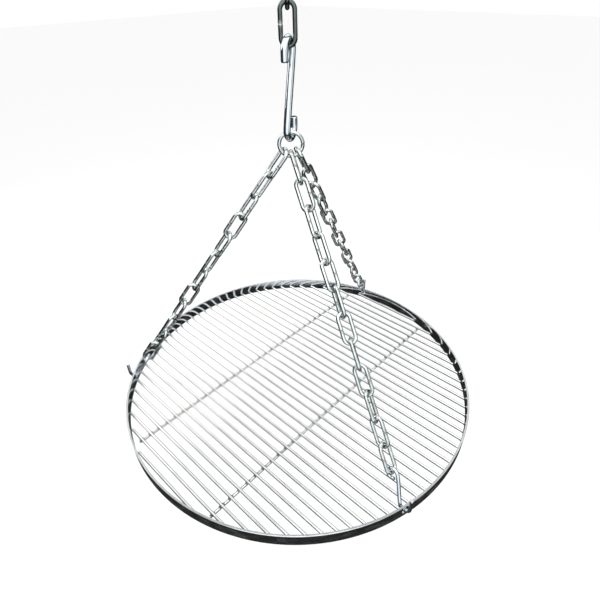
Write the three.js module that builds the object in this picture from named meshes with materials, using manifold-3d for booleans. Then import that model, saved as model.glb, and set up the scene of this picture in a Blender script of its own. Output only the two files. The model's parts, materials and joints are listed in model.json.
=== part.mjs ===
// Hanging campfire grate: a round welded grate on three chains that meet at a ring, an S-hook and the
// last two links of the suspension chain. Millimetres, +Z up. The origin is the inside of the top
// link's upper bow, where the suspension chain carries the whole grate.
import * as THREE from 'three';
import { mergeVertices } from 'three/addons/utils/BufferGeometryUtils.js';
import Module from 'manifold-3d';

const wasm = await Module();
wasm.setup();

// ---- Driving dimensions (heights are above the underside of the rim) ----
const RIM_RADIUS = 275; // outside of the rim
const RIM_HEIGHT = 20; // flat strip, set on edge
const RIM_THICKNESS = 3;
const RIM_SEGMENTS = 96;
const ROD_COUNT = 36;
const ROD_PITCH = 14.95;
const ROD_RADIUS = 2;
const ROD_LEVEL = 5.6; // axis of the rods
const CROSS_ROD_LEVEL = 2.1; // axis of the two cross rods welded under them
const CROSS_ROD_OFFSET = 83.5; // each cross rod's distance from the middle
const CROSS_ROD_OVERHANG = 4; // how far a cross rod runs past the last rod it carries
const WELD_GAP = 0.3; // between the rod ends and the rim
const HOOK_HOLE_RADIUS = 4.5;
const HOOK_HOLE_LEVEL = 11;
const HOOK_SLACK = 0.8; // between a hook's wire and the top of its hole

const CHAIN_WIRE = 5; // wire diameter of every chain link
const LINK_WIDTH = 20; // outside width
const LINK_INNER = 34.6; // clear length inside a link
const LINK_PITCH = 34; // from one link to the next
const LINKS_PER_CHAIN = 12;

const RING_WIRE = 4.5;
const RING_RADIUS = 14; // centre line
const RING_LEVEL = 394.5; // centre of the ring
const RING_FACING = -45; // compass angle that the ring's face looks to

const RIM_HOOK_WIRE = 5;
const RIM_HOOK_BEND = 7; // centre-line radius of its U and of its eye
const RIM_HOOK_YAW = 20; // its U is turned this much from square through the rim
const RIM_HOOK_TIP = 20; // straight length of the free end above the U

const S_HOOK_WIRE = 8;
const S_HOOK_BEND = 12; // centre-line radius of both bends
const S_HOOK_SPAN = 101.5; // between the two bends, along the line of pull
const S_HOOK_TIP = 9; // straight length of each free end
const S_HOOK_FACING = -66; // compass angle of its upper free end

const CONTACT_GAP = 0.3; // clearance where one wire hangs in another
const S_HOOK_SLACK = 0.6; // the same, between the S-hook and the lower link

// Each chain leaves the ring at its own place on the ring's lower arc and runs to its own hole in the
// rim. Its links turn about the line of pull, by a steady step from one to the next or by swaying to
// and fro about one turn. The top link sits square enough to the ring to clear it, and the hook's eye
// lies across the last link.
const CHAINS = [
  { name: 'left', rimAngle: -137.5, ringAngle: -42, topTurn: 44, turn: 44, step: 0, sway: 66, eyeTurn: 0 },
  { name: 'front', rimAngle: -17.5, ringAngle: 0, topTurn: 100, turn: 108, step: 101.5, sway: 0, eyeTurn: 70 },
  { name: 'back', rimAngle: 102.5, ringAngle: 50, topTurn: 98, turn: 86, step: 78.5, sway: 0, eyeTurn: 75 },
];
const TURN_DATUM = new THREE.Vector3(1, -1, 1).normalize(); // a turn of 0 shows a link open this way

// ---- Heights that follow from them ----
const UP = new THREE.Vector3(0, 0, 1);
const WIRE_STEP = (RING_WIRE + CHAIN_WIRE) / 2 + CONTACT_GAP;
const LINK_HALF = (LINK_INNER + CHAIN_WIRE) / 2; // centre of a link to the centre line of its bow
const S_HOOK_BOTTOM = RING_LEVEL + RING_RADIUS - (RING_WIRE + S_HOOK_WIRE) / 2 - CONTACT_GAP;
const S_HOOK_TOP = S_HOOK_BOTTOM + S_HOOK_SPAN;
const LOWER_LINK_LEVEL = S_HOOK_TOP - (S_HOOK_WIRE + CHAIN_WIRE) / 2 - S_HOOK_SLACK + LINK_HALF;
const TOP_LINK_LEVEL = LOWER_LINK_LEVEL + LINK_PITCH;
const ORIGIN_LEVEL = TOP_LINK_LEVEL + LINK_INNER / 2;

// ---- Finishes ----
const steel = (color, roughness) => new THREE.MeshStandardMaterial({ color, roughness, metalness: 1 });
const finishes = {
  rim: steel(0x9a9c9e, 0.18),
  rods: steel(0xc4c6c8, 0.25),
  chain: steel(0xb2b6b6, 0.3),
  hooks: steel(0xc2c8d0, 0.22),
  suspension: steel(0x5a605a, 0.4),
};

// ---- Small helpers ----
const radians = THREE.MathUtils.degToRad;

/** A horizontal unit vector at a compass angle in degrees, counted from +X towards +Y. */
function bearing(degrees) {
  return new THREE.Vector3(Math.cos(radians(degrees)), Math.sin(radians(degrees)), 0);
}

/** The point a + b * t. */
function along(a, b, t) {
  return a.clone().addScaledVector(b, t);
}

/** A closed geometry as a Manifold solid. */
function toSolid(geometry) {
  const bare = geometry.clone();
  bare.deleteAttribute('normal');
  bare.deleteAttribute('uv');
  const merged = mergeVertices(bare, 1e-4);
  return new wasm.Manifold(new wasm.Mesh({
    numProp: 3,
    vertProperties: new Float32Array(merged.attributes.position.array),
    triVerts: new Uint32Array(merged.index.array),
  }));
}

/** A Manifold solid as a three.js geometry. */
function toGeometry(solid) {
  const mesh = solid.getMesh();
  const geometry = new THREE.BufferGeometry();
  geometry.setAttribute('position', new THREE.BufferAttribute(new Float32Array(mesh.vertProperties), 3));
  geometry.setIndex(new THREE.BufferAttribute(new Uint32Array(mesh.triVerts), 1));
  geometry.computeVertexNormals();
  return geometry;
}

/** A round wire swept along a list of points. */
function wire(points, radius, steps) {
  const section = new THREE.Shape();
  const sides = 8;
  for (let i = 0; i < sides; i++) {
    const a = (2 * Math.PI * i) / sides;
    const corner = [radius * Math.cos(a), radius * Math.sin(a)];
    if (i === 0) section.moveTo(...corner);
    else section.lineTo(...corner);
  }
  section.closePath();
  const extrudePath = new THREE.CatmullRomCurve3(points, false, 'centripetal');
  return new THREE.ExtrudeGeometry(section, { steps, bevelEnabled: false, extrudePath });
}

/** Points on an arc about centre, from one direction towards another, angles in degrees. */
function arc(centre, radius, axisA, axisB, from, to, count) {
  const points = [];
  for (let i = 0; i <= count; i++) {
    const a = radians(from + ((to - from) * i) / count);
    points.push(along(along(centre, axisA, radius * Math.cos(a)), axisB, radius * Math.sin(a)));
  }
  return points;
}

/** Turns and moves a mesh so that its own Y runs along `long` and its own X along `side`. */
function place(mesh, centre, long, side) {
  const normal = new THREE.Vector3().crossVectors(side, long);
  mesh.quaternion.setFromRotationMatrix(new THREE.Matrix4().makeBasis(side, long, normal));
  mesh.position.copy(centre);
  return mesh;
}

function named(name, geometry, finish) {
  const mesh = new THREE.Mesh(geometry, finish);
  mesh.name = name;
  return mesh;
}

// ---- Chain link: a torus drawn out to a long oval, long axis Y, flat in XY ----
function linkGeometry() {
  const bend = (LINK_WIDTH - CHAIN_WIRE) / 2;
  const segments = 12;
  const geometry = new THREE.TorusGeometry(bend, CHAIN_WIRE / 2, 8, segments);
  geometry.rotateZ(Math.PI / segments);
  const position = geometry.attributes.position;
  const stretch = LINK_HALF - bend;
  for (let i = 0; i < position.count; i++) {
    position.setY(i, position.getY(i) + Math.sign(position.getY(i)) * stretch);
  }
  geometry.computeVertexNormals();
  return geometry;
}

// ---- Rim: a flat strip bent to a hoop on its edge, with a hole for each hook ----
function rimGeometry() {
  const inner = RIM_RADIUS - RIM_THICKNESS;
  const strip = [
    new THREE.Vector2(inner, 0),
    new THREE.Vector2(RIM_RADIUS, 0),
    new THREE.Vector2(RIM_RADIUS, RIM_HEIGHT),
    new THREE.Vector2(inner, RIM_HEIGHT),
    new THREE.Vector2(inner, 0),
  ];
  const hoop = new THREE.LatheGeometry(strip, RIM_SEGMENTS);
  hoop.rotateX(Math.PI / 2);
  let solid = toSolid(hoop);
  for (const chain of CHAINS) {
    const drill = new THREE.CylinderGeometry(HOOK_HOLE_RADIUS, HOOK_HOLE_RADIUS, 6 * RIM_THICKNESS, 16);
    drill.rotateZ(Math.PI / 2);
    drill.translate(RIM_RADIUS - RIM_THICKNESS / 2, 0, HOOK_HOLE_LEVEL);
    drill.rotateZ(radians(chain.rimAngle));
    solid = solid.subtract(toSolid(drill));
  }
  return toGeometry(solid);
}

// ---- Rods: the two cross rods carry all but the outermost rods, which only the rim holds ----
const rodOffset = (i) => (i - (ROD_COUNT - 1) / 2) * ROD_PITCH;

/** One straight rod across the hoop, at its own distance from the middle. */
function rodGeometry(offset) {
  const reach = RIM_RADIUS - RIM_THICKNESS - WELD_GAP;
  const length = 2 * Math.sqrt(reach ** 2 - (Math.abs(offset) + ROD_RADIUS) ** 2);
  const rod = new THREE.CylinderGeometry(ROD_RADIUS, ROD_RADIUS, length, 8);
  rod.rotateY(Math.PI / 8);
  rod.rotateZ(Math.PI / 2);
  rod.translate(0, offset, ROD_LEVEL);
  return rod;
}

function rodGridGeometry() {
  const rods = [];
  for (let i = 1; i < ROD_COUNT - 1; i++) {
    rods.push(toSolid(rodGeometry(rodOffset(i))));
  }
  const length = 2 * (rodOffset(ROD_COUNT - 2) + CROSS_ROD_OVERHANG);
  for (const side of [-1, 1]) {
    const rod = new THREE.CylinderGeometry(ROD_RADIUS, ROD_RADIUS, length, 8);
    rod.rotateY(Math.PI / 8);
    rod.translate(side * CROSS_ROD_OFFSET, 0, CROSS_ROD_LEVEL);
    rods.push(toSolid(rod));
  }
  return toGeometry(rods.reduce((whole, rod) => whole.add(rod)));
}

// ---- One chain: its line of pull, its links and its rim hook ----
function chainLine(chain) {
  const across = bearing(RING_FACING + 90);
  const a = radians(chain.ringAngle);
  const onRing = new THREE.Vector3(0, 0, RING_LEVEL - RING_RADIUS * Math.cos(a));
  onRing.addScaledVector(across, RING_RADIUS * Math.sin(a));
  const ringWay = across.clone().multiplyScalar(Math.cos(a)).addScaledVector(UP, Math.sin(a));
  const end = bearing(chain.rimAngle).multiplyScalar(RIM_RADIUS - RIM_THICKNESS / 2);
  end.z = HOOK_HOLE_LEVEL + HOOK_HOLE_RADIUS - RIM_HOOK_WIRE / 2 - HOOK_SLACK;
  const square = end.clone().sub(onRing).projectOnPlane(ringWay).normalize();
  const start = along(onRing, square, -WIRE_STEP);
  const pull = end.clone().sub(start).normalize();
  return { start, end, pull };
}

/** The direction square to the line of pull, turned about it from the datum direction. */
function sideOfPull(pull, datum, turn) {
  const a = radians(turn);
  const first = new THREE.Vector3().crossVectors(pull, datum).normalize();
  const second = new THREE.Vector3().crossVectors(pull, first);
  return first.multiplyScalar(Math.cos(a)).addScaledVector(second, Math.sin(a));
}

function chainLinks(chain, geometry) {
  const { start, pull } = chainLine(chain);
  const links = [];
  for (let i = 0; i < LINKS_PER_CHAIN; i++) {
    const sway = chain.sway * Math.sin((Math.PI / 2) * i);
    const turn = i === 0 ? chain.topTurn : chain.turn + chain.step * i + sway;
    const side = sideOfPull(pull, TURN_DATUM, turn);
    const name = `${chain.name}_link_${String(i + 1).padStart(2, '0')}`;
    const link = named(name, geometry, finishes.chain);
    links.push(place(link, along(start, pull, LINK_HALF + LINK_PITCH * i), pull, side));
  }
  return links;
}

/** A wire hook: free end, U through the rim, shank, and a closed eye that carries the last link. */
function rimHook(chain) {
  const { start, end, pull } = chainLine(chain);
  const outward = bearing(chain.rimAngle + RIM_HOOK_YAW);
  const middle = along(end, UP, RIM_HOOK_BEND);
  const tip = along(along(middle, outward, RIM_HOOK_BEND), UP, RIM_HOOK_TIP);
  const bottom = arc(middle, RIM_HOOK_BEND, outward, UP, 0, -180, 6);
  const side = sideOfPull(pull, UP, chain.eyeTurn).negate();
  const lastBow = LINK_HALF + LINK_PITCH * (LINKS_PER_CHAIN - 1) + LINK_HALF;
  const eyeTop = lastBow - (CHAIN_WIRE + RIM_HOOK_WIRE) / 2 - CONTACT_GAP;
  const eye = arc(along(start, pull, eyeTop + RIM_HOOK_BEND), RIM_HOOK_BEND, side, pull, 10, -270, 9);
  return named(`${chain.name}_rim_hook`, wire([tip, ...bottom, ...eye], RIM_HOOK_WIRE / 2, 36), finishes.hooks);
}

// ---- S-hook: two bends and a slanting shank, the same either way up ----
function sHook() {
  const out = bearing(S_HOOK_FACING);
  const upper = new THREE.Vector3(0, 0, S_HOOK_TOP - S_HOOK_BEND);
  const lower = new THREE.Vector3(0, 0, S_HOOK_BOTTOM + S_HOOK_BEND);
  const points = [
    along(along(upper, out, S_HOOK_BEND), UP, -S_HOOK_TIP),
    ...arc(upper, S_HOOK_BEND, out, UP, 0, 165, 6),
    ...arc(lower, S_HOOK_BEND, out, UP, -15, -180, 6),
    along(along(lower, out, -S_HOOK_BEND), UP, S_HOOK_TIP),
  ];
  return named('s_hook', wire(points, S_HOOK_WIRE / 2, 36), finishes.hooks);
}

function gatheringRing() {
  const ring = named('ring', new THREE.TorusGeometry(RING_RADIUS, RING_WIRE / 2, 8, 24), finishes.chain);
  return place(ring, new THREE.Vector3(0, 0, RING_LEVEL), UP, bearing(RING_FACING + 90));
}

// ---- The whole object ----
const link = linkGeometry();
const assembly = new THREE.Group();
assembly.position.z = -ORIGIN_LEVEL;

const topLink = named('suspension_link_top', link, finishes.suspension);
const lowerLink = named('suspension_link_lower', link, finishes.suspension);
assembly.add(place(topLink, new THREE.Vector3(0, 0, TOP_LINK_LEVEL), UP, bearing(RING_FACING)));
assembly.add(place(lowerLink, new THREE.Vector3(0, 0, LOWER_LINK_LEVEL), UP, bearing(RING_FACING + 90)));
assembly.add(sHook());
assembly.add(gatheringRing());
for (const chain of CHAINS) {
  for (const chainLink of chainLinks(chain, link)) assembly.add(chainLink);
  assembly.add(rimHook(chain));
}
assembly.add(named('rim', rimGeometry(), finishes.rim));
assembly.add(named('rod_grid', rodGridGeometry(), finishes.rods));
assembly.add(named('end_rod_front', rodGeometry(rodOffset(0)), finishes.rods));
assembly.add(named('end_rod_back', rodGeometry(rodOffset(ROD_COUNT - 1)), finishes.rods));

export default assembly;
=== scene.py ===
"""Hanging campfire grate: round welded grate, three welded chains, ring, S-hook and suspension links."""
import json
import logging
import math
from dataclasses import dataclass, field
from enum import Enum

import bpy
import numpy as np
from mathutils import Matrix, Vector


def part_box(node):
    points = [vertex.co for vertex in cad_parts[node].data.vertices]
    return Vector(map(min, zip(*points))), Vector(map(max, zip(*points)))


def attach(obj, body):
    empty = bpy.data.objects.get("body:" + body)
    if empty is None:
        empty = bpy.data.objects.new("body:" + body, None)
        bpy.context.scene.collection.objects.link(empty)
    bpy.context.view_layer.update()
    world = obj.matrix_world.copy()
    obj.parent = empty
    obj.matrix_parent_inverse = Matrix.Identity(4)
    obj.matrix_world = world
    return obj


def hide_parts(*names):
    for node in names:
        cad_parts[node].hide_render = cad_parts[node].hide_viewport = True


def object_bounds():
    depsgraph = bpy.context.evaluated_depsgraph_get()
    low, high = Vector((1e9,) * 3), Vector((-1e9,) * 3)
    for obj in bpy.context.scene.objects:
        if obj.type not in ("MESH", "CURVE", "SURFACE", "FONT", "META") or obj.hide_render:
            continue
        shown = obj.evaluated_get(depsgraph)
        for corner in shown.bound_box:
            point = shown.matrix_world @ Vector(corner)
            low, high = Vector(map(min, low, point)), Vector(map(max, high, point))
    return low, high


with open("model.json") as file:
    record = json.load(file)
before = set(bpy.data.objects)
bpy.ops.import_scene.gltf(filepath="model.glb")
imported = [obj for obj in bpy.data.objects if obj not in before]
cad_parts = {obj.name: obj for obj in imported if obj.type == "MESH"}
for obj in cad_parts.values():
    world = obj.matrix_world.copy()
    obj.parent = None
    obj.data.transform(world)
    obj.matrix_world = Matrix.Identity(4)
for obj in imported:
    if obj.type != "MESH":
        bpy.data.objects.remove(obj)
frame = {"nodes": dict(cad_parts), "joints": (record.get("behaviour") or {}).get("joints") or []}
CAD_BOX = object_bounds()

LOG = logging.getLogger("grate")
MM = 0.001
UP = Vector((0.0, 0.0, 1.0))
BODY = "grate"

# how finely the round shapes are cut
ROD_SIDES = 16
ROD_SEGMENTS = 24
HOOP_STEPS = 288
DRILL_SIDES = 48
DRILL_LENGTH = 20 * MM
CURVE_STEPS = 24

# the smallest and the largest weld bead as a share of the stated size
SMALLEST_BEAD = 0.8
LARGEST_BEAD = 1.15


class Slot(Enum):
    """The record's material slots."""

    RIM = "rim_steel"
    RODS = "rod_steel"
    CHAIN = "chain_steel"
    HOOKS = "hook_steel"
    SUSPENSION = "suspension_steel"


class Grain(Enum):
    """Where a finish takes the direction of its drawing and rolling marks from."""

    WIRE = "wire"
    RODS = "rods"
    CROSS_RODS = "cross rods"
    STRIP = "strip"


# ---------------------------------------------------------------- node helpers
def link(tree: bpy.types.NodeTree, source: bpy.types.NodeSocket, target: bpy.types.NodeSocket) -> None:
    """Joins two sockets of one node tree."""
    tree.links.new(source, target)


def math_node(
    tree: bpy.types.NodeTree,
    operation: str,
    first: bpy.types.NodeSocket | float,
    second: bpy.types.NodeSocket | float = 0.0,
) -> bpy.types.NodeSocket:
    """One Math node.

    Args:
        tree: The tree the node is added to.
        operation: Blender's name of the operation.
        first: A socket or a number.
        second: A socket or a number.

    Returns:
        The node's output socket.
    """
    node = tree.nodes.new("ShaderNodeMath")
    node.operation = operation
    for socket, value in zip(node.inputs, (first, second)):
        if isinstance(value, bpy.types.NodeSocket):
            link(tree, value, socket)
        else:
            socket.default_value = value
    return node.outputs[0]


class NodeRecipe:
    """A Geometry Nodes tree with named inputs that ends in Realize Instances and Set Material."""

    def __init__(self, name: str) -> None:
        """Makes the empty tree.

        Args:
            name: The tree's name.
        """
        self.tree = bpy.data.node_groups.new(name, "GeometryNodeTree")
        self.tree.interface.new_socket("Geometry", in_out="OUTPUT", socket_type="NodeSocketGeometry")
        self.identifiers: dict[str, str] = {}
        self.input_node = self.tree.nodes.new("NodeGroupInput")
        self.add_input("Geometry", "NodeSocketGeometry")

    def add_input(self, name: str, kind: str) -> None:
        """Adds one named input to the tree.

        Args:
            name: The input's name.
            kind: The socket type.
        """
        socket = self.tree.interface.new_socket(name, in_out="INPUT", socket_type=kind)
        self.identifiers[name] = socket.identifier

    def value(self, name: str) -> bpy.types.NodeSocket:
        """The socket that gives a named input."""
        return self.input_node.outputs[name]

    def node(self, kind: str, **options: object) -> bpy.types.Node:
        """Adds a node.

        Args:
            kind: The node's type name without its prefix.
            **options: Properties to set on it.

        Returns:
            The new node.
        """
        made = self.tree.nodes.new(kind)
        for key, option in options.items():
            setattr(made, key, option)
        return made

    def join(self, source: bpy.types.NodeSocket, target: bpy.types.NodeSocket) -> None:
        """Joins two sockets."""
        link(self.tree, source, target)

    def close(self, geometry: bpy.types.NodeSocket) -> None:
        """Ends the tree in Realize Instances and Set Material.

        Args:
            geometry: The finished geometry.
        """
        realize = self.node("GeometryNodeRealizeInstances")
        dress = self.node("GeometryNodeSetMaterial")
        out = self.node("NodeGroupOutput")
        self.join(geometry, realize.inputs[0])
        self.join(realize.outputs[0], dress.inputs["Geometry"])
        self.join(self.value("Material"), dress.inputs["Material"])
        self.join(dress.outputs[0], out.inputs[0])

    def make(
        self, name: str, base: bpy.types.Mesh, sharp_angle: float = 35.0, **values: object
    ) -> bpy.types.Object:
        """Runs the tree on a base mesh and keeps the result as a plain mesh.

        Args:
            name: The finished piece's name.
            base: The mesh the tree starts from.
            sharp_angle: Edges that turn more than this many degrees are left sharp.
            **values: The tree's inputs, with underscores for the spaces in their names.

        Returns:
            The finished piece, at the origin.
        """
        holder = bpy.data.objects.new(name, base)
        bpy.context.scene.collection.objects.link(holder)
        modifier = holder.modifiers.new("recipe", "NODES")
        modifier.node_group = self.tree
        for key, value in values.items():
            modifier[self.identifiers[key.replace("_", " ")]] = value
        depsgraph = bpy.context.evaluated_depsgraph_get()
        depsgraph.update()
        evaluated = holder.evaluated_get(depsgraph)
        mesh = bpy.data.meshes.new_from_object(evaluated, preserve_all_data_layers=True, depsgraph=depsgraph)
        holder.modifiers.remove(modifier)
        holder.data = mesh
        mesh.name = name
        mesh.shade_smooth()
        mesh.set_sharp_from_angle(angle=math.radians(sharp_angle))
        return holder


def sweep_recipe() -> NodeRecipe:
    """The tree that sweeps a round wire along a line of points.

    Returns:
        A recipe with the inputs Wire Diameter, Sides and Material.
    """
    recipe = NodeRecipe("swept wire")
    recipe.add_input("Wire Diameter", "NodeSocketFloat")
    recipe.add_input("Sides", "NodeSocketInt")
    recipe.add_input("Material", "NodeSocketMaterial")
    to_curve = recipe.node("GeometryNodeMeshToCurve")
    recipe.join(recipe.value("Geometry"), to_curve.inputs["Mesh"])
    swell = recipe.node("GeometryNodeInputNamedAttribute", data_type="FLOAT")
    swell.inputs["Name"].default_value = "swell"
    length = recipe.node("GeometryNodeSplineParameter")
    keep_length = recipe.node("GeometryNodeCaptureAttribute", domain="POINT")
    keep_length.capture_items.new("FLOAT", "Length")
    recipe.join(to_curve.outputs[0], keep_length.inputs["Geometry"])
    recipe.join(length.outputs["Length"], keep_length.inputs["Length"])
    section = recipe.node("GeometryNodeCurvePrimitiveCircle", mode="RADIUS")
    half = math_node(recipe.tree, "MULTIPLY", recipe.value("Wire Diameter"), 0.5)
    recipe.join(half, section.inputs["Radius"])
    recipe.join(recipe.value("Sides"), section.inputs["Resolution"])
    place = recipe.node("GeometryNodeInputPosition")
    keep_section = recipe.node("GeometryNodeCaptureAttribute", domain="POINT")
    keep_section.capture_items.new("VECTOR", "Section")
    recipe.join(section.outputs["Curve"], keep_section.inputs["Geometry"])
    recipe.join(place.outputs[0], keep_section.inputs["Section"])
    sweep = recipe.node("GeometryNodeCurveToMesh")
    recipe.join(keep_length.outputs["Geometry"], sweep.inputs["Curve"])
    recipe.join(keep_section.outputs["Geometry"], sweep.inputs["Profile Curve"])
    sweep.inputs["Fill Caps"].default_value = True
    recipe.join(swell.outputs["Attribute"], sweep.inputs["Scale"])
    split = recipe.node("ShaderNodeSeparateXYZ")
    recipe.join(keep_section.outputs["Section"], split.inputs[0])
    combine = recipe.node("ShaderNodeCombineXYZ")
    recipe.join(split.outputs["X"], combine.inputs["X"])
    recipe.join(split.outputs["Y"], combine.inputs["Y"])
    recipe.join(keep_length.outputs["Length"], combine.inputs["Z"])
    store = recipe.node("GeometryNodeStoreNamedAttribute", data_type="FLOAT_VECTOR", domain="POINT")
    store.inputs["Name"].default_value = "grain"
    recipe.join(sweep.outputs[0], store.inputs["Geometry"])
    recipe.join(combine.outputs[0], store.inputs["Value"])
    recipe.close(store.outputs["Geometry"])
    return recipe


def rod_recipe() -> NodeRecipe:
    """The tree that lays one rod of unit half length on every point and stretches it to its reach.

    Returns:
        A recipe with the inputs Rod Diameter and Material, whose points carry the attribute reach.
    """
    recipe = NodeRecipe("row of rods")
    recipe.add_input("Rod Diameter", "NodeSocketFloat")
    recipe.add_input("Material", "NodeSocketMaterial")
    rod = recipe.node("GeometryNodeMeshCylinder", fill_type="NGON")
    rod.inputs["Vertices"].default_value = ROD_SIDES
    rod.inputs["Side Segments"].default_value = ROD_SEGMENTS
    rod.inputs["Depth"].default_value = 2.0
    recipe.join(math_node(recipe.tree, "MULTIPLY", recipe.value("Rod Diameter"), 0.5), rod.inputs["Radius"])
    lie = recipe.node("GeometryNodeTransform")
    lie.inputs["Rotation"].default_value = (0.0, math.pi / 2, 0.0)
    recipe.join(rod.outputs["Mesh"], lie.inputs["Geometry"])
    reach = recipe.node("GeometryNodeInputNamedAttribute", data_type="FLOAT")
    reach.inputs["Name"].default_value = "reach"
    size = recipe.node("ShaderNodeCombineXYZ")
    recipe.join(reach.outputs["Attribute"], size.inputs["X"])
    size.inputs["Y"].default_value = 1.0
    size.inputs["Z"].default_value = 1.0
    turn = recipe.node("GeometryNodeInputNamedAttribute", data_type="FLOAT_VECTOR")
    turn.inputs["Name"].default_value = "turn"
    to_rotation = recipe.node("FunctionNodeEulerToRotation")
    recipe.join(turn.outputs["Attribute"], to_rotation.inputs[0])
    lay = recipe.node("GeometryNodeInstanceOnPoints")
    recipe.join(recipe.value("Geometry"), lay.inputs["Points"])
    recipe.join(lie.outputs[0], lay.inputs["Instance"])
    recipe.join(size.outputs[0], lay.inputs["Scale"])
    recipe.join(to_rotation.outputs[0], lay.inputs["Rotation"])
    recipe.close(lay.outputs[0])
    return recipe


def bead_recipe() -> NodeRecipe:
    """The tree that sets a lump of weld metal on every point.

    Returns:
        A recipe with the inputs Seed and Material, whose points carry the attribute size.
    """
    recipe = NodeRecipe("weld beads")
    recipe.add_input("Seed", "NodeSocketInt")
    recipe.add_input("Material", "NodeSocketMaterial")
    lump = recipe.node("GeometryNodeMeshIcoSphere")
    lump.inputs["Radius"].default_value = 1.0
    lump.inputs["Subdivisions"].default_value = 2
    size = recipe.node("GeometryNodeInputNamedAttribute", data_type="FLOAT_VECTOR")
    size.inputs["Name"].default_value = "size"
    turn = recipe.node("GeometryNodeInputNamedAttribute", data_type="FLOAT_VECTOR")
    turn.inputs["Name"].default_value = "turn"
    to_rotation = recipe.node("FunctionNodeEulerToRotation")
    recipe.join(turn.outputs["Attribute"], to_rotation.inputs[0])
    vary = recipe.node("FunctionNodeRandomValue", data_type="FLOAT")
    vary.inputs[2].default_value = SMALLEST_BEAD
    vary.inputs[3].default_value = LARGEST_BEAD
    recipe.join(recipe.value("Seed"), vary.inputs["Seed"])
    grow = recipe.node("ShaderNodeVectorMath", operation="SCALE")
    recipe.join(size.outputs["Attribute"], grow.inputs[0])
    recipe.join(vary.outputs[1], grow.inputs["Scale"])
    lay = recipe.node("GeometryNodeInstanceOnPoints")
    recipe.join(recipe.value("Geometry"), lay.inputs["Points"])
    recipe.join(lump.outputs["Mesh"], lay.inputs["Instance"])
    recipe.join(grow.outputs[0], lay.inputs["Scale"])
    recipe.join(to_rotation.outputs[0], lay.inputs["Rotation"])
    recipe.close(lay.outputs[0])
    return recipe


def hoop_recipe() -> NodeRecipe:
    """The tree that bends a rounded flat strip to a hoop and drills it at every point.

    Returns:
        A recipe with the inputs Radius, Height, Thickness, Edge Round, Hole Radius and Material.
    """
    recipe = NodeRecipe("drilled hoop")
    for name in ("Radius", "Height", "Thickness", "Edge Round", "Hole Radius"):
        recipe.add_input(name, "NodeSocketFloat")
    recipe.add_input("Material", "NodeSocketMaterial")
    hoop = recipe.node("GeometryNodeCurvePrimitiveCircle", mode="RADIUS")
    hoop.inputs["Resolution"].default_value = HOOP_STEPS
    middle = math_node(
        recipe.tree,
        "SUBTRACT",
        recipe.value("Radius"),
        math_node(recipe.tree, "MULTIPLY", recipe.value("Thickness"), 0.5),
    )
    recipe.join(middle, hoop.inputs["Radius"])
    strip = recipe.node("GeometryNodeCurvePrimitiveQuadrilateral", mode="RECTANGLE")
    recipe.join(recipe.value("Thickness"), strip.inputs["Width"])
    recipe.join(recipe.value("Height"), strip.inputs["Height"])
    ease = recipe.node("GeometryNodeFilletCurve", mode="POLY")
    ease.inputs["Count"].default_value = 4
    recipe.join(strip.outputs[0], ease.inputs["Curve"])
    recipe.join(recipe.value("Edge Round"), ease.inputs["Radius"])
    sweep = recipe.node("GeometryNodeCurveToMesh")
    recipe.join(hoop.outputs["Curve"], sweep.inputs["Curve"])
    recipe.join(ease.outputs[0], sweep.inputs["Profile Curve"])
    drill = recipe.node("GeometryNodeMeshCylinder", fill_type="NGON")
    drill.inputs["Vertices"].default_value = DRILL_SIDES
    drill.inputs["Depth"].default_value = DRILL_LENGTH
    recipe.join(recipe.value("Hole Radius"), drill.inputs["Radius"])
    turn = recipe.node("GeometryNodeInputNamedAttribute", data_type="FLOAT_VECTOR")
    turn.inputs["Name"].default_value = "turn"
    to_rotation = recipe.node("FunctionNodeEulerToRotation")
    recipe.join(turn.outputs["Attribute"], to_rotation.inputs[0])
    lay = recipe.node("GeometryNodeInstanceOnPoints")
    recipe.join(recipe.value("Geometry"), lay.inputs["Points"])
    recipe.join(drill.outputs["Mesh"], lay.inputs["Instance"])
    recipe.join(to_rotation.outputs[0], lay.inputs["Rotation"])
    cut = recipe.node("GeometryNodeMeshBoolean", operation="DIFFERENCE", solver="EXACT")
    recipe.join(sweep.outputs[0], cut.inputs["Mesh 1"])
    recipe.join(lay.outputs[0], cut.inputs["Mesh 2"])
    recipe.close(cut.outputs[0])
    return recipe


# ---------------------------------------------------------------- meshes of points and lines
def polyline(points: np.ndarray, swell: np.ndarray, weld: np.ndarray, closed: bool) -> bpy.types.Mesh:
    """A line of edges with how thick the wire is and how near a weld is at each point.

    Args:
        points: The centre line, one row a point, in metres.
        swell: Thickness at each point as a share of the wire's own.
        weld: 1 at a weld and 0 away from it.
        closed: Whether the last point joins the first.

    Returns:
        The line's mesh.
    """
    count = len(points)
    edges = [(i, i + 1) for i in range(count - 1)]
    if closed:
        edges.append((count - 1, 0))
    mesh = bpy.data.meshes.new("line")
    mesh.from_pydata([tuple(p) for p in points], edges, [])
    for name, values in (("swell", swell), ("weld", weld)):
        mesh.attributes.new(name, "FLOAT", "POINT").data.foreach_set("value", np.asarray(values, np.float32))
    return mesh


def points_mesh(places: list[tuple[float, float, float]], **attributes: list) -> bpy.types.Mesh:
    """Loose points that carry attributes.

    Args:
        places: Where the points are, in metres.
        **attributes: Each attribute's values, numbers or triples.

    Returns:
        The points' mesh.
    """
    mesh = bpy.data.meshes.new("points")
    mesh.from_pydata(places, [], [])
    for name, values in attributes.items():
        array = np.asarray(values, np.float32)
        if array.ndim == 1:
            mesh.attributes.new(name, "FLOAT", "POINT").data.foreach_set("value", array)
        else:
            mesh.attributes.new(name, "FLOAT_VECTOR", "POINT").data.foreach_set("vector", array.ravel())
    return mesh


def bearing(degrees: float) -> Vector:
    """A level unit vector at a compass angle, counted from +X towards +Y."""
    return Vector((math.cos(math.radians(degrees)), math.sin(math.radians(degrees)), 0.0))


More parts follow.
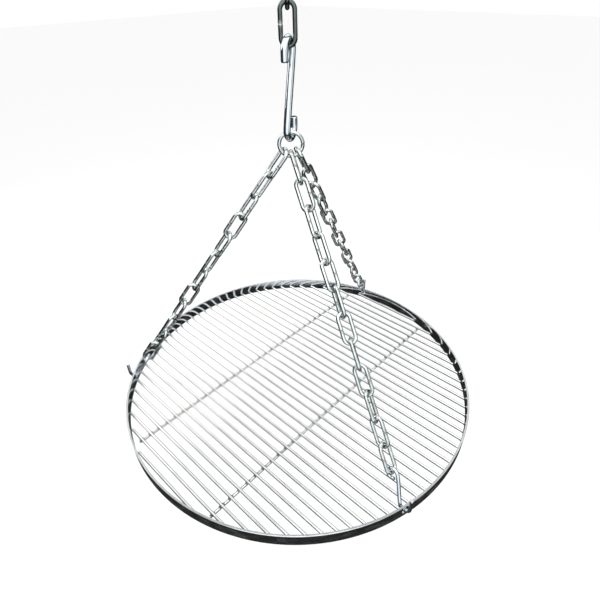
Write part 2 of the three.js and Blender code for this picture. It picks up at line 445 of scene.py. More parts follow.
def between(first: np.ndarray, last: np.ndarray, start: float, end: float, at: float) -> np.ndarray:
    """A point on the straight line that is at first when at is start and at last when at is end."""
    return (end - at) / (end - start) * first + (at - start) / (end - start) * last


def smooth_path(corners: list[Vector], spacing: float) -> np.ndarray:
    """Evenly spaced points on a smooth curve through some corners.

    Args:
        corners: The points to pass through.
        spacing: The distance between the points given back.

    Returns:
        The points, one row each.
    """
    given = np.array([tuple(c) for c in corners])
    ends = np.vstack([2 * given[0] - given[1], given, 2 * given[-1] - given[-2]])
    fine = []
    for a, b, c, d in zip(ends, ends[1:], ends[2:], ends[3:]):
        knots = np.cumsum([0.0, *[math.sqrt(np.linalg.norm(q - p)) for p, q in ((a, b), (b, c), (c, d))]])
        for t in np.linspace(knots[1], knots[2], CURVE_STEPS, endpoint=False):
            first = between(a, b, knots[0], knots[1], t)
            second = between(b, c, knots[1], knots[2], t)
            third = between(c, d, knots[2], knots[3], t)
            early = between(first, second, knots[0], knots[2], t)
            late = between(second, third, knots[1], knots[3], t)
            fine.append(between(early, late, knots[1], knots[2], t))
    fine.append(given[-1])
    line = np.array(fine)
    run = np.concatenate([[0.0], np.cumsum(np.linalg.norm(np.diff(line, axis=0), axis=1))])
    wanted = np.linspace(0.0, run[-1], max(8, int(run[-1] / spacing)))
    return np.column_stack([np.interp(wanted, run, line[:, k]) for k in range(3)])


@dataclass
class Placing:
    """Where a flat closed wire shape lies: its centre, the way it is long, the way it is wide."""

    centre: Vector
    long: Vector
    side: Vector

    @classmethod
    def of_node(cls, node: str) -> "Placing":
        """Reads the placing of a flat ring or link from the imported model.

        Args:
            node: The CAD node's name.

        Returns:
            Its placing.
        """
        mesh = frame["nodes"][node].data
        corners = np.array([tuple(v.co) for v in mesh.vertices])
        middle = corners.mean(axis=0)
        _, axes = np.linalg.eigh(np.cov((corners - middle).T))
        spread = (corners - middle) @ axes
        middle = middle + axes @ ((spread.max(axis=0) + spread.min(axis=0)) / 2)
        long, side = Vector(axes[:, 2]), Vector(axes[:, 1])
        if long.z > 0:
            long = -long
        return cls(Vector(middle), long, side)

    def put(self, x: np.ndarray, y: np.ndarray) -> np.ndarray:
        """Points given as across and along the shape, as places in the frame."""
        return np.array(self.centre) + np.outer(x, np.array(self.side)) + np.outer(y, np.array(self.long))


# ---------------------------------------------------------------- finishes
@dataclass(frozen=True)
class SteelFinish:
    """A steel finish: its tones, its least and most roughness, and how deep its marks and ripple are."""

    name: str
    slot: Slot
    grain: Grain
    colour: tuple[float, float, float]
    shade: tuple[float, float, float]
    weld_colour: tuple[float, float, float]
    roughness: tuple[float, float]
    marks: float
    ripple: float

    def material(self) -> bpy.types.Material:
        """Builds the node material.

        Returns:
            The finish's material.
        """
        made = bpy.data.materials.new(self.name)
        made.use_nodes = True
        tree = made.node_tree
        shader = tree.nodes["Principled BSDF"]
        shader.inputs["Metallic"].default_value = 1.0
        place = self._coordinates(tree)
        where = tree.nodes.new("ShaderNodeTexCoord").outputs["Object"]
        weld = tree.nodes.new("ShaderNodeAttribute")
        weld.attribute_name = "weld"
        weld_share = weld.outputs["Fac"]
        cloud = self._noise(tree, where, 70.0, 4.0, 0.6)
        speck = self._noise(tree, where, 900.0, 2.0, 0.5)
        streak = self._noise(tree, place, 1.0, 3.0, 0.65)
        tone = tree.nodes.new("ShaderNodeMix")
        tone.data_type = "RGBA"
        tone.inputs["A"].default_value = (*self.colour, 1.0)
        tone.inputs["B"].default_value = (*self.shade, 1.0)
        link(tree, self._ramp(tree, cloud, 0.35, 0.75), tone.inputs["Factor"])
        tint = tree.nodes.new("ShaderNodeMix")
        tint.data_type = "RGBA"
        tint.inputs["B"].default_value = (*self.weld_colour, 1.0)
        link(tree, tone.outputs["Result"], tint.inputs["A"])
        spotted = math_node(tree, "MULTIPLY", weld_share, self._ramp(tree, speck, 0.2, 0.6))
        link(tree, spotted, tint.inputs["Factor"])
        link(tree, tint.outputs["Result"], shader.inputs["Base Color"])
        low, high = self.roughness
        dull = math_node(tree, "MULTIPLY", self._ramp(tree, cloud, 0.3, 0.8), (high - low) * 0.6)
        worn = math_node(tree, "MULTIPLY", self._ramp(tree, streak, 0.45, 0.75), (high - low) * 0.4)
        rough = math_node(tree, "ADD", math_node(tree, "ADD", dull, worn), low)
        rough = math_node(tree, "ADD", rough, math_node(tree, "MULTIPLY", weld_share, 0.25))
        link(tree, rough, shader.inputs["Roughness"])
        fine = tree.nodes.new("ShaderNodeBump")
        fine.inputs["Strength"].default_value = 1.0
        fine.inputs["Distance"].default_value = self.marks
        link(tree, streak, fine.inputs["Height"])
        broad = tree.nodes.new("ShaderNodeBump")
        broad.inputs["Strength"].default_value = 1.0
        broad.inputs["Distance"].default_value = self.ripple
        link(tree, self._noise(tree, where, 160.0, 2.0, 0.4), broad.inputs["Height"])
        link(tree, fine.outputs["Normal"], broad.inputs["Normal"])
        link(tree, broad.outputs["Normal"], shader.inputs["Normal"])
        return made

    def _coordinates(self, tree: bpy.types.NodeTree) -> bpy.types.NodeSocket:
        """The coordinates that the drawing marks follow.

        Args:
            tree: The material's tree.

        Returns:
            A vector socket whose pattern is drawn out along the steel.
        """
        scaled = tree.nodes.new("ShaderNodeMapping")
        scaled.vector_type = "POINT"
        if self.grain is Grain.WIRE:
            own = tree.nodes.new("ShaderNodeAttribute")
            own.attribute_name = "grain"
            link(tree, own.outputs["Vector"], scaled.inputs["Vector"])
            scaled.inputs["Scale"].default_value = (1500.0, 1500.0, 60.0)
        else:
            link(tree, tree.nodes.new("ShaderNodeTexCoord").outputs["Object"], scaled.inputs["Vector"])
            scaled.inputs["Scale"].default_value = {
                Grain.RODS: (30.0, 1500.0, 1500.0),
                Grain.CROSS_RODS: (1500.0, 30.0, 1500.0),
                Grain.STRIP: (40.0, 40.0, 1400.0),
            }[self.grain]
        return scaled.outputs["Vector"]

    @staticmethod
    def _noise(
        tree: bpy.types.NodeTree, where: bpy.types.NodeSocket, scale: float, detail: float, rough: float
    ) -> bpy.types.NodeSocket:
        """A noise pattern.

        Args:
            tree: The material's tree.
            where: The coordinates it reads.
            scale: Its scale.
            detail: How many finer layers it has.
            rough: How strong the finer layers are.

        Returns:
            The pattern from 0 to 1.
        """
        noise = tree.nodes.new("ShaderNodeTexNoise")
        noise.inputs["Scale"].default_value = scale
        noise.inputs["Detail"].default_value = detail
        noise.inputs["Roughness"].default_value = rough
        link(tree, where, noise.inputs["Vector"])
        return noise.outputs["Fac"]

    @staticmethod
    def _ramp(
        tree: bpy.types.NodeTree, value: bpy.types.NodeSocket, low: float, high: float
    ) -> bpy.types.NodeSocket:
        """A value stretched so that low becomes 0 and high becomes 1."""
        stretch = tree.nodes.new("ShaderNodeMapRange")
        stretch.inputs["From Min"].default_value = low
        stretch.inputs["From Max"].default_value = high
        link(tree, value, stretch.inputs["Value"])
        return stretch.outputs["Result"]


RIM_FINISH = SteelFinish(
    name="rolled_strip_steel",
    slot=Slot.RIM,
    grain=Grain.STRIP,
    colour=(0.62, 0.63, 0.65),
    shade=(0.50, 0.51, 0.52),
    weld_colour=(0.22, 0.18, 0.14),
    roughness=(0.04, 0.14),
    marks=0.04 * MM,
    ripple=0.2 * MM,
)
ROD_FINISH = SteelFinish(
    name="drawn_rod_steel",
    slot=Slot.RODS,
    grain=Grain.RODS,
    colour=(0.92, 0.93, 0.93),
    shade=(0.78, 0.79, 0.79),
    weld_colour=(0.20, 0.17, 0.14),
    roughness=(0.03, 0.10),
    marks=0.02 * MM,
    ripple=0.04 * MM,
)
# The cross rods use the rod steel darkened with painted shade, for the shadow of the cooking rods above them.
CROSS_ROD_PAINTED_SHADE_FINISH = SteelFinish(
    name="painted_shade_rod_steel",
    slot=Slot.RODS,
    grain=Grain.CROSS_RODS,
    colour=(0.82, 0.82, 0.81),
    shade=(0.66, 0.66, 0.65),
    weld_colour=(0.20, 0.17, 0.14),
    roughness=(0.05, 0.16),
    marks=0.04 * MM,
    ripple=0.1 * MM,
)
WELD_FINISH = SteelFinish(
    name="weld_bead_steel",
    slot=Slot.RODS,
    grain=Grain.RODS,
    colour=(0.22, 0.21, 0.19),
    shade=(0.09, 0.08, 0.07),
    weld_colour=(0.15, 0.12, 0.10),
    roughness=(0.28, 0.55),
    marks=0.1 * MM,
    ripple=0.4 * MM,
)
CHAIN_FINISH = SteelFinish(
    name="zinc_plated_chain",
    slot=Slot.CHAIN,
    grain=Grain.WIRE,
    colour=(0.80, 0.82, 0.81),
    shade=(0.54, 0.57, 0.55),
    weld_colour=(0.30, 0.30, 0.29),
    roughness=(0.06, 0.22),
    marks=0.04 * MM,
    ripple=0.22 * MM,
)
SUSPENSION_FINISH = SteelFinish(
    name="darkened_chain",
    slot=Slot.SUSPENSION,
    grain=Grain.WIRE,
    colour=(0.17, 0.19, 0.17),
    shade=(0.07, 0.09, 0.075),
    weld_colour=(0.80, 0.80, 0.78),
    roughness=(0.16, 0.42),
    marks=0.06 * MM,
    ripple=0.3 * MM,
)
HOOK_FINISH = SteelFinish(
    name="zinc_plated_hook_wire",
    slot=Slot.HOOKS,
    grain=Grain.WIRE,
    colour=(0.86, 0.89, 0.94),
    shade=(0.70, 0.73, 0.78),
    weld_colour=(0.30, 0.30, 0.29),
    roughness=(0.06, 0.20),
    marks=0.02 * MM,
    ripple=0.1 * MM,
)
FINISHES = (
    RIM_FINISH,
    ROD_FINISH,
    CROSS_ROD_PAINTED_SHADE_FINISH,
    WELD_FINISH,
    CHAIN_FINISH,
    SUSPENSION_FINISH,
    HOOK_FINISH,
)


class Workshop:
    """The recipes and materials that every sub-assembly shares."""

    def __init__(self) -> None:
        """Builds each recipe and material once."""
        self.sweep = sweep_recipe()
        self.rods = rod_recipe()
        self.beads = bead_recipe()
        self.hoop = hoop_recipe()
        self.materials = {finish.name: finish.material() for finish in FINISHES}

    def wire(
        self,
        name: str,
        points: np.ndarray,
        swell: np.ndarray,
        weld: np.ndarray,
        closed: bool,
        diameter: float,
        finish: SteelFinish,
        sides: int = 14,
    ) -> bpy.types.Object:
        """Sweeps one wire.

        Args:
            name: The piece's name.
            points: Its centre line.
            swell: Its thickness at each point as a share of its own.
            weld: Nearness to a weld at each point.
            closed: Whether the wire is a closed loop.
            diameter: The wire's diameter.
            finish: Its finish.
            sides: How many sides its section has.

        Returns:
            The piece.
        """
        return self.sweep.make(
            name,
            polyline(points, swell, weld, closed),
            Wire_Diameter=diameter,
            Sides=sides,
            Material=self.materials[finish.name],
        )


def fit(piece: bpy.types.Object, body: str, slot: Slot, *nodes: str) -> bpy.types.Object:
    """Puts a finished piece on its body in place of its CAD nodes.

    Args:
        piece: The finished piece.
        body: The body it moves with.
        slot: The record's slot for its finish; not used.
        *nodes: The CAD nodes it stands for.

    Returns:
        The same piece.
    """
    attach(piece, body)
    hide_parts(*nodes)
    LOG.info("%s on %s: %d faces", piece.name, body, len(piece.data.polygons))
    return piece


# ---------------------------------------------------------------- sub-assemblies
@dataclass(frozen=True)
class ButtWeld:
    """A butt weld across a wire: a low bulge with a narrow groove in it, and the tint around it."""

    bulge: float
    bulge_reach: float
    groove: float
    groove_reach: float
    tint_reach: float

    def along(self, distance: np.ndarray) -> tuple[np.ndarray, np.ndarray]:
        """The wire's thickness share and the weld's nearness.

        Args:
            distance: How far each point is from the weld, along the wire.

        Returns:
            Thickness share and weld nearness at each point.
        """
        raised = self.bulge * np.exp(-((distance / self.bulge_reach) ** 2))
        sunk = self.groove * np.exp(-((distance / self.groove_reach) ** 2))
        return 1.0 + raised - sunk, np.exp(-((distance / self.tint_reach) ** 2))


@dataclass
class WeldedLink:
    """A long link of round wire, closed with a butt weld in the middle of one side."""

    wire: float = 5.0 * MM
    width: float = 20.0 * MM
    inner: float = 34.6 * MM
    points: int = 168
    sides: int = 12
    weld: ButtWeld = ButtWeld(0.07, 2.6 * MM, 0.16, 0.7 * MM, 2.2 * MM)
    weld_shift: float = 1.2 * MM
    belly: tuple[float, float] = (-0.25 * MM, 0.1 * MM)
    skew: float = 0.15 * MM
    finish: SteelFinish = CHAIN_FINISH

    def outline(self, seed: int) -> tuple[np.ndarray, np.ndarray, np.ndarray, np.ndarray]:
        """The centre line, started at the weld, with the wire's thickness and the weld's nearness.

        Args:
            seed: Picks the link's small unevenness and which side is welded.

        Returns:
            Across, along, thickness share and weld nearness at each point.
        """
        rng = np.random.default_rng(seed)
        bend = (self.width - self.wire) / 2
        straight = (self.inner + self.wire) / 2 - bend
        total = 2 * math.pi * bend + 4 * straight
        run = np.linspace(0.0, total, self.points, endpoint=False)
        x, y = np.empty_like(run), np.empty_like(run)
        for i, s in enumerate(run):
            if s < straight:
                x[i], y[i] = bend, s
            elif s < straight + math.pi * bend:
                a = (s - straight) / bend
                x[i], y[i] = bend * math.cos(a), straight + bend * math.sin(a)
            elif s < 3 * straight + math.pi * bend:
                x[i], y[i] = -bend, 2 * straight - (s - math.pi * bend)
            elif s < 3 * straight + 2 * math.pi * bend:
                a = math.pi + (s - 3 * straight - math.pi * bend) / bend
                x[i], y[i] = bend * math.cos(a), -straight + bend * math.sin(a)
            else:
                x[i], y[i] = bend, s - total
        offset = rng.uniform(-self.weld_shift, self.weld_shift)
        swell, weld = self.weld.along(np.abs(np.where(run > total / 2, run - total, run) - offset))
        belly = rng.uniform(*self.belly)
        x = x * (1 + belly / bend * np.cos(np.pi * np.clip(y / (straight + bend), -1, 1) / 2) ** 2)
        skew = rng.uniform(-self.skew, self.skew)
        x = x + skew * np.sin(2 * np.pi * run / total)
        if rng.random() < 0.5:
            x, y = -x, y
        return x, y, swell, weld

    def build(self, shop: Workshop, node: str, seed: int) -> bpy.types.Object:
        """Builds the link where its CAD node lies.

        Args:
            shop: The shared recipes and materials.
            node: The CAD node, which is also the link's body.
            seed: Picks its small unevenness.

        Returns:
            The piece.
        """
        x, y, swell, weld = self.outline(seed)
        place = Placing.of_node(node)
        points = place.put(x, y)
        piece = shop.wire(f"{node}_wire", points, swell, weld, True, self.wire, self.finish, self.sides)
        return fit(piece, node, self.finish.slot, node)


@dataclass
class GatheringRing:
    """The round welded ring that gathers the three chains."""

    wire: float = 4.5 * MM
    radius: float = 14.0 * MM
    across: float = 45.0
    points: int = 144
    sides: int = 16
    weld: ButtWeld = ButtWeld(0.06, 2.4 * MM, 0.14, 0.7 * MM, 2.0 * MM)

    def build(self, shop: Workshop) -> bpy.types.Object:
        """Builds the ring with its weld at one side."""
        lo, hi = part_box("ring")
        place = Placing((lo + hi) / 2, UP, bearing(self.across))
        run = np.linspace(0.0, 2 * math.pi, self.points, endpoint=False)
        points = place.put(self.radius * np.cos(run), self.radius * np.sin(run))
        swell, weld = self.weld.along(self.radius * np.minimum(run, 2 * math.pi - run))
        piece = shop.wire("gathering_ring", points, swell, weld, True, self.wire, CHAIN_FINISH, self.sides)
        return fit(piece, "ring", Slot.CHAIN, "ring")


@dataclass
class SHook:
    """The S-shaped hook of bent wire between the ring and the suspension chain."""

    wire: float = 8.4 * MM
    bend: float = 12.0 * MM
    span: float = 101.5 * MM
    tip: float = 9.0 * MM
    facing: float = -66.0
    spacing: float = 0.9 * MM
    chamfer: float = 0.5 * MM
    sides: int = 24

    def path(self) -> np.ndarray:
        """The centre line from the upper free end to the lower one."""
        lo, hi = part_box("s_hook")
        bottom = (lo.z + hi.z - self.span) / 2
        out = bearing(self.facing)
        upper = UP * (bottom + self.span - self.bend)
        lower = UP * (bottom + self.bend)
        corners = [upper + out * self.bend - UP * self.tip]
        for degrees in range(0, 166, 15):
            a = math.radians(degrees)
            corners.append(upper + (out * math.cos(a) + UP * math.sin(a)) * self.bend)
        for degrees in range(-15, -181, -15):
            a = math.radians(degrees)
            corners.append(lower + (out * math.cos(a) + UP * math.sin(a)) * self.bend)
        corners.append(lower - out * self.bend + UP * self.tip)
        return smooth_path(corners, self.spacing)

    def build(self, shop: Workshop) -> bpy.types.Object:
        """Builds the hook with its two sawn ends."""
        points = self.path()
        swell, weld = sawn_ends(points, self.chamfer)
        piece = shop.wire("s_hook_wire", points, swell, weld, False, self.wire, HOOK_FINISH, self.sides)
        return fit(piece, "s_hook", Slot.HOOKS, "s_hook")


def sawn_ends(points: np.ndarray, chamfer: float) -> tuple[np.ndarray, np.ndarray]:
    """Thickness and weld values of an open wire whose ends are sawn off and slightly broken.

    Args:
        points: The centre line.
        chamfer: How far the broken edge reaches along the wire.

    Returns:
        Thickness share and weld nearness at each point.
    """
    steps = np.concatenate([[0.0], np.cumsum(np.linalg.norm(np.diff(points, axis=0), axis=1))])
    from_end = np.minimum(steps, steps[-1] - steps)
    swell = np.where(from_end < chamfer, 0.86 + 0.14 * from_end / chamfer, 1.0)
    return swell, np.zeros_like(swell)


@dataclass
class Chain:
    """One chain: twelve links and the wire hook that carries its corner of the rim."""

    name: str
    rim_angle: float
    eye_turn: float
    seed: int
    links: int = 12
    link_kind: WeldedLink = field(default_factory=WeldedLink)
    pitch: float = 34.0 * MM
    hook_wire: float = 5.0 * MM
    hook_bend: float = 7.0 * MM
    hook_yaw: float = 20.0
    hook_tip: float = 20.0 * MM
    hook_slack: float = 0.8 * MM
    hole_radius: float = 4.5 * MM
    rim_middle: float = 273.5 * MM
    hole_level: float = 11.0 * MM
    contact_gap: float = 0.3 * MM
    spacing: float = 0.8 * MM
    chamfer: float = 0.4 * MM
    sides: int = 16

    def hook_path(self) -> np.ndarray:
        """The rim hook's centre line, from its free end to the closing end of its eye."""
        joint = next(j for j in frame["joints"] if j["child"] == f"{self.name}_link_01")
        pull = Vector(joint["axis"])
        half = (self.link_kind.inner + self.link_kind.wire) / 2
        start = Vector(joint["pos_m"]) - pull * half
        end = bearing(self.rim_angle) * self.rim_middle
        end.z = CAD_BOX[0].z + self.hole_level + self.hole_radius - self.hook_wire / 2 - self.hook_slack
        outward = bearing(self.rim_angle + self.hook_yaw)
        middle = end + UP * self.hook_bend
        corners = [middle + outward * self.hook_bend + UP * self.hook_tip]
        for degrees in range(0, -181, -30):
            a = math.radians(degrees)
            corners.append(middle + (outward * math.cos(a) + UP * math.sin(a)) * self.hook_bend)
        first = pull.cross(UP).normalized()
        second = pull.cross(first)
        a = math.radians(self.eye_turn)
        side = -(first * math.cos(a) + second * math.sin(a))
        last_bow = half + self.pitch * (self.links - 1) + half
        eye_top = last_bow - (self.link_kind.wire + self.hook_wire) / 2 - self.contact_gap
        eye = start + pull * (eye_top + self.hook_bend)
        for step in range(10):
            a = math.radians(10 - 280 * step / 9)
            corners.append(eye + (side * math.cos(a) + pull * math.sin(a)) * self.hook_bend)
        return smooth_path(corners, self.spacing)

    def build(self, shop: Workshop) -> None:
        """Builds the links and the hook."""
        for i in range(self.links):
            self.link_kind.build(shop, f"{self.name}_link_{i + 1:02d}", self.seed + i)
        points = self.hook_path()
        swell, weld = sawn_ends(points, self.chamfer)
        node = f"{self.name}_rim_hook"
        piece = shop.wire(f"{node}_wire", points, swell, weld, False, self.hook_wire, HOOK_FINISH, self.sides)
        fit(piece, BODY, Slot.HOOKS, node)


@dataclass
class Rim:
    """The flat strip bent to a hoop on its edge, with a hole for each rim hook."""

    radius: float = 275.0 * MM
    height: float = 20.0 * MM
    thickness: float = 3.0 * MM
    edge_round: float = 0.6 * MM
    hole_radius: float = 4.5 * MM
    hole_level: float = 11.0 * MM
    hook_angles: tuple[float, float, float] = (-137.5, -17.5, 102.5)

    def build(self, shop: Workshop) -> bpy.types.Object:
        """Builds the drilled hoop."""
        places, turns = [], []
        for angle in self.hook_angles:
            spot = bearing(angle) * (self.radius - self.thickness / 2)
            places.append((spot.x, spot.y, self.hole_level - self.height / 2))
            turns.append((0.0, math.pi / 2, math.radians(angle)))
        piece = shop.hoop.make(
            "rim_hoop",
            points_mesh(places, turn=turns),
            sharp_angle=40.0,
            Radius=self.radius,
            Height=self.height,
            Thickness=self.thickness,
            Edge_Round=self.edge_round,
            Hole_Radius=self.hole_radius,
            Material=shop.materials[RIM_FINISH.name],
        )
        lo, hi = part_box("rim")
        piece.data.transform(Matrix.Translation((0.0, 0.0, (lo.z + hi.z) / 2)))
        return fit(piece, BODY, Slot.RIM, "rim")


@dataclass
class RodGrid:
    """The cooking rods, the two cross rods under them and the welds that hold them."""

    count: int = 36
    pitch: float = 14.95 * MM
    diameter: float = 4.0 * MM
    level: float = 5.6 * MM
    cross_level: float = 2.1 * MM
    cross_offset: float = 83.5 * MM
    cross_overhang: float = 4.0 * MM
    inside: float = 272.0 * MM
    weld_depth: float = 0.2 * MM
    crossing_bead: tuple[float, float, float] = (2.9 * MM, 4.0 * MM, 1.8 * MM)
    rim_bead: tuple[float, float, float] = (1.3 * MM, 2.4 * MM, 1.7 * MM)
    rim_bead_setback: float = 0.6 * MM
    weld_seed: int = 11

    def offsets(self) -> list[float]:
        """Each cooking rod's distance from the middle."""
        return [(i - (self.count - 1) / 2) * self.pitch for i in range(self.count)]

    def half_length(self, offset: float) -> float:
        """Half the length of a rod that ends just inside the rim's inner wall."""
        return math.sqrt(self.inside**2 - (abs(offset) + self.diameter / 2) ** 2) + self.weld_depth

    def build(self, shop: Workshop) -> None:
        """Builds the rods and their welds."""
        base = CAD_BOX[0].z
        offsets = self.offsets()
        rods = shop.rods.make(
            "cooking_rods",
            points_mesh(
                [(0.0, y, base + self.level) for y in offsets],
                reach=[self.half_length(y) for y in offsets],
                turn=[(0.0, 0.0, 0.0)] * len(offsets),
            ),
            Rod_Diameter=self.diameter,
            Material=shop.materials[ROD_FINISH.name],
        )
        fit(rods, BODY, Slot.RODS, "rod_grid", "end_rod_front", "end_rod_back")
        # The cross rods take the rod steel darkened with painted shade, as they lie under the cooking rods.
        cross = shop.rods.make(
            "cross_rods",
            points_mesh(
                [(s * self.cross_offset, 0.0, base + self.cross_level) for s in (-1, 1)],
                reach=[offsets[-2] + self.cross_overhang] * 2,
                turn=[(0.0, 0.0, math.pi / 2)] * 2,
            ),
            Rod_Diameter=self.diameter,
            Material=shop.materials[CROSS_ROD_PAINTED_SHADE_FINISH.name],
        )
        fit(cross, BODY, Slot.RODS, "rod_grid")
        fit(self.welds(shop, base, offsets), BODY, Slot.RODS, "rod_grid")

    def welds(self, shop: Workshop, base: float, offsets: list[float]) -> bpy.types.Object:
        """Builds the spot welds at the crossings and the beads where rods meet the rim.

        Args:
            shop: The shared recipes and materials.
            base: The level of the rim's underside.
            offsets: The cooking rods' distances from the middle.

        Returns:
            The piece.
        """
        places, sizes, turns = [], [], []
        between = base + (self.level + self.cross_level) / 2
        for y in offsets[1:-1]:
            for s in (-1, 1):
                places.append((s * self.cross_offset, y, between))
                sizes.append(self.crossing_bead)
                turns.append((0.0, 0.0, 0.0))
        for y in offsets:
            for s in (-1, 1):
                reach = self.half_length(y) - self.rim_bead_setback
                places.append((s * reach, y, base + self.level - self.rim_bead_setback))
                sizes.append(self.rim_bead)
                turns.append((0.0, 0.0, math.atan2(y, s * self.half_length(y))))
        return shop.beads.make(
            "weld_beads",
            points_mesh(places, size=sizes, turn=turns),
            sharp_angle=180.0,
            Seed=self.weld_seed,
            Material=shop.materials[WELD_FINISH.name],
        )


# ---------------------------------------------------------------- studio
Colour = tuple[float, float, float]


@dataclass(frozen=True)
class Lamp:
    """A round soft lamp: where it hangs, its width and its power in watts."""

    name: str
    place: tuple[float, float, float]
    width: float
    power: float


@dataclass(frozen=True)
class Panel:
    """A soft light panel that the steel reflects, with the cosines of its dim edge and its full core."""

    way: tuple[float, float, float]
    edge: float
    core: float
    colour: Colour

    def share(self, tree: bpy.types.NodeTree, way: bpy.types.NodeSocket) -> bpy.types.NodeSocket:
        """How much of the panel lies in each direction.

        Args:
            tree: The world's tree.
            way: The direction looked in.

        Returns:
            1 in the panel's core, 0 outside its edge.
        """
        dot = tree.nodes.new("ShaderNodeVectorMath")
        dot.operation = "DOT_PRODUCT"
        dot.inputs[1].default_value = Vector(self.way).normalized()
        link(tree, way, dot.inputs[0])
        soft = tree.nodes.new("ShaderNodeMapRange")
        soft.interpolation_type = "SMOOTHSTEP"
        soft.inputs["From Min"].default_value = self.edge
        soft.inputs["From Max"].default_value = self.core
        link(tree, dot.outputs["Value"], soft.inputs["Value"])
        return soft.outputs["Result"]


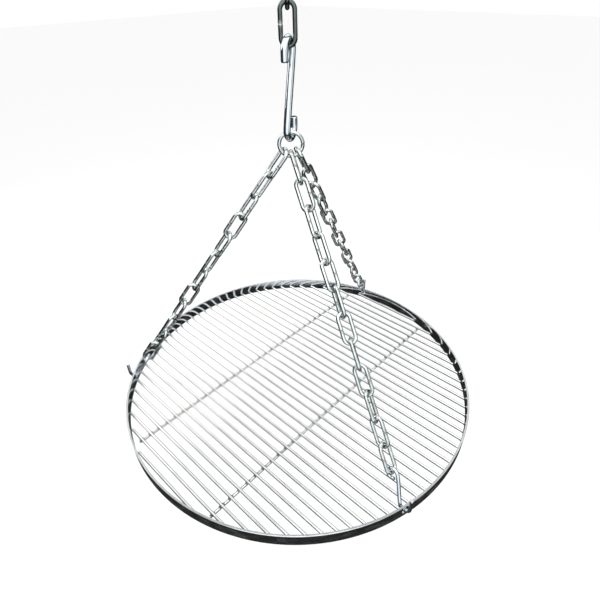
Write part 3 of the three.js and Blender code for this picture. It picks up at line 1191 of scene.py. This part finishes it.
@dataclass
class Studio:
    """The pale floor, the soft light and the camera.

    The camera's height counts from the rim's underside. Each band is a height in the surroundings, from 0
    straight down to 1 straight up, with the colour that the steel reflects there.
    """

    drop: float = 0.55
    floor_size: float = 30.0
    eye: tuple[float, float, float] = (0.37603, -0.38579, 0.55993)
    azimuth: float = 43.789
    elevation: float = 36.192
    roll: float = -1.271
    lens: float = 27.0
    shift: float = 0.003
    floor_tone: float = 0.96
    aim_level: float = -0.35
    lamps: tuple[Lamp, ...] = (
        Lamp("soft_top", (0.2, -0.2, 1.6), 1.8, 10.0),
        Lamp("soft_side", (-1.6, -0.9, 0.6), 1.2, 6.5),
    )
    ground: Colour = (0.03, 0.03, 0.03)
    zenith: Colour = (0.45, 0.46, 0.47)
    bands: tuple[tuple[float, Colour], ...] = (
        (0.36, (0.01, 0.013, 0.011)),
        (0.50, (0.012, 0.016, 0.014)),
        (0.67, (0.03, 0.04, 0.036)),
        (0.74, (0.90, 0.98, 0.98)),
        (0.82, (1.40, 1.40, 1.40)),
        (0.94, (0.8, 0.8, 0.8)),
    )
    panels: tuple[Panel, ...] = (
        Panel((0.70, -0.70, 0.12), 0.68, 0.84, (1.10, 1.18, 1.25)),
        Panel((0.90, 0.40, 0.08), 0.90, 0.97, (0.75, 0.80, 0.75)),
        Panel((-0.35, 0.93, 0.10), 0.93, 0.98, (0.60, 0.70, 0.68)),
    )

    speckle_scale: float = 14.0
    speckle_range: tuple[float, float] = (0.52, 0.78)
    speckle_share: float = 0.22
    speckle_colour: Colour = (0.8, 0.85, 0.8)

    def camera(self) -> None:
        """Puts the camera at its place."""
        data = bpy.data.cameras.new("camera")
        data.lens = self.lens
        data.sensor_width = 36.0
        data.shift_x = self.shift
        data.clip_start, data.clip_end = 0.02, 100.0
        eye = bpy.data.objects.new("camera", data)
        a, e, r = (math.radians(v) for v in (self.azimuth, self.elevation, self.roll))
        back = Vector((math.sin(a) * math.cos(e), -math.cos(a) * math.cos(e), math.sin(e)))
        level = Vector((math.cos(a), math.sin(a), 0.0))
        above = back.cross(level)
        right = level * math.cos(r) + above * math.sin(r)
        above = above * math.cos(r) - level * math.sin(r)
        turn = Matrix((right, above, back)).transposed().to_4x4()
        above_rim = Vector(self.eye) + UP * CAD_BOX[0].z
        eye.matrix_world = Matrix.Translation(above_rim) @ turn
        bpy.context.scene.collection.objects.link(eye)
        bpy.context.scene.camera = eye

    def floor(self) -> None:
        """Lays the pale floor well below the hanging grate."""
        half = self.floor_size / 2
        mesh = bpy.data.meshes.new("floor")
        z = CAD_BOX[0].z - self.drop
        corners = [(-half, -half, z), (half, -half, z), (half, half, z), (-half, half, z)]
        mesh.from_pydata(corners, [], [(0, 1, 2, 3)])
        floor = bpy.data.objects.new("floor", mesh)
        material = bpy.data.materials.new("pale_floor")
        material.use_nodes = True
        shader = material.node_tree.nodes["Principled BSDF"]
        shader.inputs["Base Color"].default_value = (self.floor_tone, self.floor_tone, self.floor_tone, 1.0)
        shader.inputs["Roughness"].default_value = 0.9
        mesh.materials.append(material)
        bpy.context.scene.collection.objects.link(floor)
        floor.visible_glossy = False

    def light(self) -> None:
        """Hangs two soft lamps and sets the surroundings that the steel reflects."""
        bpy.context.scene.view_settings.view_transform = "Standard"
        for lamp in self.lamps:
            disk = bpy.data.lights.new(lamp.name, "AREA")
            disk.shape = "DISK"
            disk.size = lamp.width
            disk.energy = lamp.power
            holder = bpy.data.objects.new(lamp.name, disk)
            spot = Vector(lamp.place)
            aim = UP * self.aim_level - spot
            holder.matrix_world = Matrix.Translation(spot) @ aim.to_track_quat("-Z", "Y").to_matrix().to_4x4()
            bpy.context.scene.collection.objects.link(holder)
        self.surroundings()

    def surroundings(self) -> None:
        """A pale room for the eye and the floor, and a studio with dark sides for the steel's reflections."""
        world = bpy.data.worlds.new("studio")
        bpy.context.scene.world = world
        world.use_nodes = True
        tree = world.node_tree
        tree.nodes.clear()
        room = tree.nodes.new("ShaderNodeBackground")
        room.inputs["Color"].default_value = (1.0, 1.0, 1.0, 1.0)
        way = tree.nodes.new("ShaderNodeTexCoord").outputs["Generated"]
        split = tree.nodes.new("ShaderNodeSeparateXYZ")
        link(tree, way, split.inputs[0])
        height = tree.nodes.new("ShaderNodeValToRGB")
        ramp = height.color_ramp
        ramp.elements[0].color = (*self.ground, 1.0)
        ramp.elements[1].color = (*self.zenith, 1.0)
        for position, colour in self.bands:
            stop = ramp.elements.new(position)
            stop.color = (*colour, 1.0)
        half = math_node(tree, "MULTIPLY", split.outputs["Z"], 0.5)
        link(tree, math_node(tree, "ADD", half, 0.5), height.inputs["Fac"])
        colour = height.outputs["Color"]
        speckle = tree.nodes.new("ShaderNodeTexNoise")
        speckle.inputs["Scale"].default_value = self.speckle_scale
        speckle.inputs["Detail"].default_value = 5.0
        link(tree, way, speckle.inputs["Vector"])
        glint = tree.nodes.new("ShaderNodeMapRange")
        glint.inputs["From Min"].default_value = self.speckle_range[0]
        glint.inputs["From Max"].default_value = self.speckle_range[1]
        glint.inputs["To Max"].default_value = self.speckle_share
        link(tree, speckle.outputs["Fac"], glint.inputs["Value"])
        colour = self.add_light(tree, colour, glint.outputs["Result"], self.speckle_colour)
        for panel in self.panels:
            colour = self.add_light(tree, colour, panel.share(tree, way), panel.colour)
        studio = tree.nodes.new("ShaderNodeBackground")
        link(tree, colour, studio.inputs["Color"])
        mix = tree.nodes.new("ShaderNodeMixShader")
        link(tree, tree.nodes.new("ShaderNodeLightPath").outputs["Is Glossy Ray"], mix.inputs[0])
        link(tree, room.outputs[0], mix.inputs[1])
        link(tree, studio.outputs[0], mix.inputs[2])
        out = tree.nodes.new("ShaderNodeOutputWorld")
        link(tree, mix.outputs[0], out.inputs["Surface"])

    @staticmethod
    def add_light(
        tree: bpy.types.NodeTree,
        under: bpy.types.NodeSocket,
        share: bpy.types.NodeSocket,
        colour: Colour,
    ) -> bpy.types.NodeSocket:
        """Adds a coloured light to the surroundings.

        Args:
            tree: The world's tree.
            under: The colour so far.
            share: How much of the light each direction gets.
            colour: The light's colour.

        Returns:
            The colour with the light added.
        """
        mix = tree.nodes.new("ShaderNodeMix")
        mix.data_type = "RGBA"
        mix.blend_type = "ADD"
        mix.inputs["B"].default_value = (*colour, 1.0)
        link(tree, share, mix.inputs["Factor"])
        link(tree, under, mix.inputs["A"])
        return mix.outputs["Result"]


def main() -> None:
    """Builds the whole object in order, then the studio."""
    logging.basicConfig(level=logging.INFO, format="%(message)s")
    studio = Studio()
    studio.camera()
    shop = Workshop()
    Rim().build(shop)
    RodGrid().build(shop)
    for chain in (
        Chain(name="left", rim_angle=-137.5, eye_turn=0.0, seed=100),
        Chain(name="front", rim_angle=-17.5, eye_turn=70.0, seed=200),
        Chain(name="back", rim_angle=102.5, eye_turn=75.0, seed=300),
    ):
        chain.build(shop)
    GatheringRing().build(shop)
    SHook().build(shop)
    for seed, node in ((400, "suspension_link_top"), (402, "suspension_link_lower")):
        WeldedLink(finish=SUSPENSION_FINISH).build(shop, node, seed)
    studio.floor()
    studio.light()


if __name__ == "__main__":
    main()
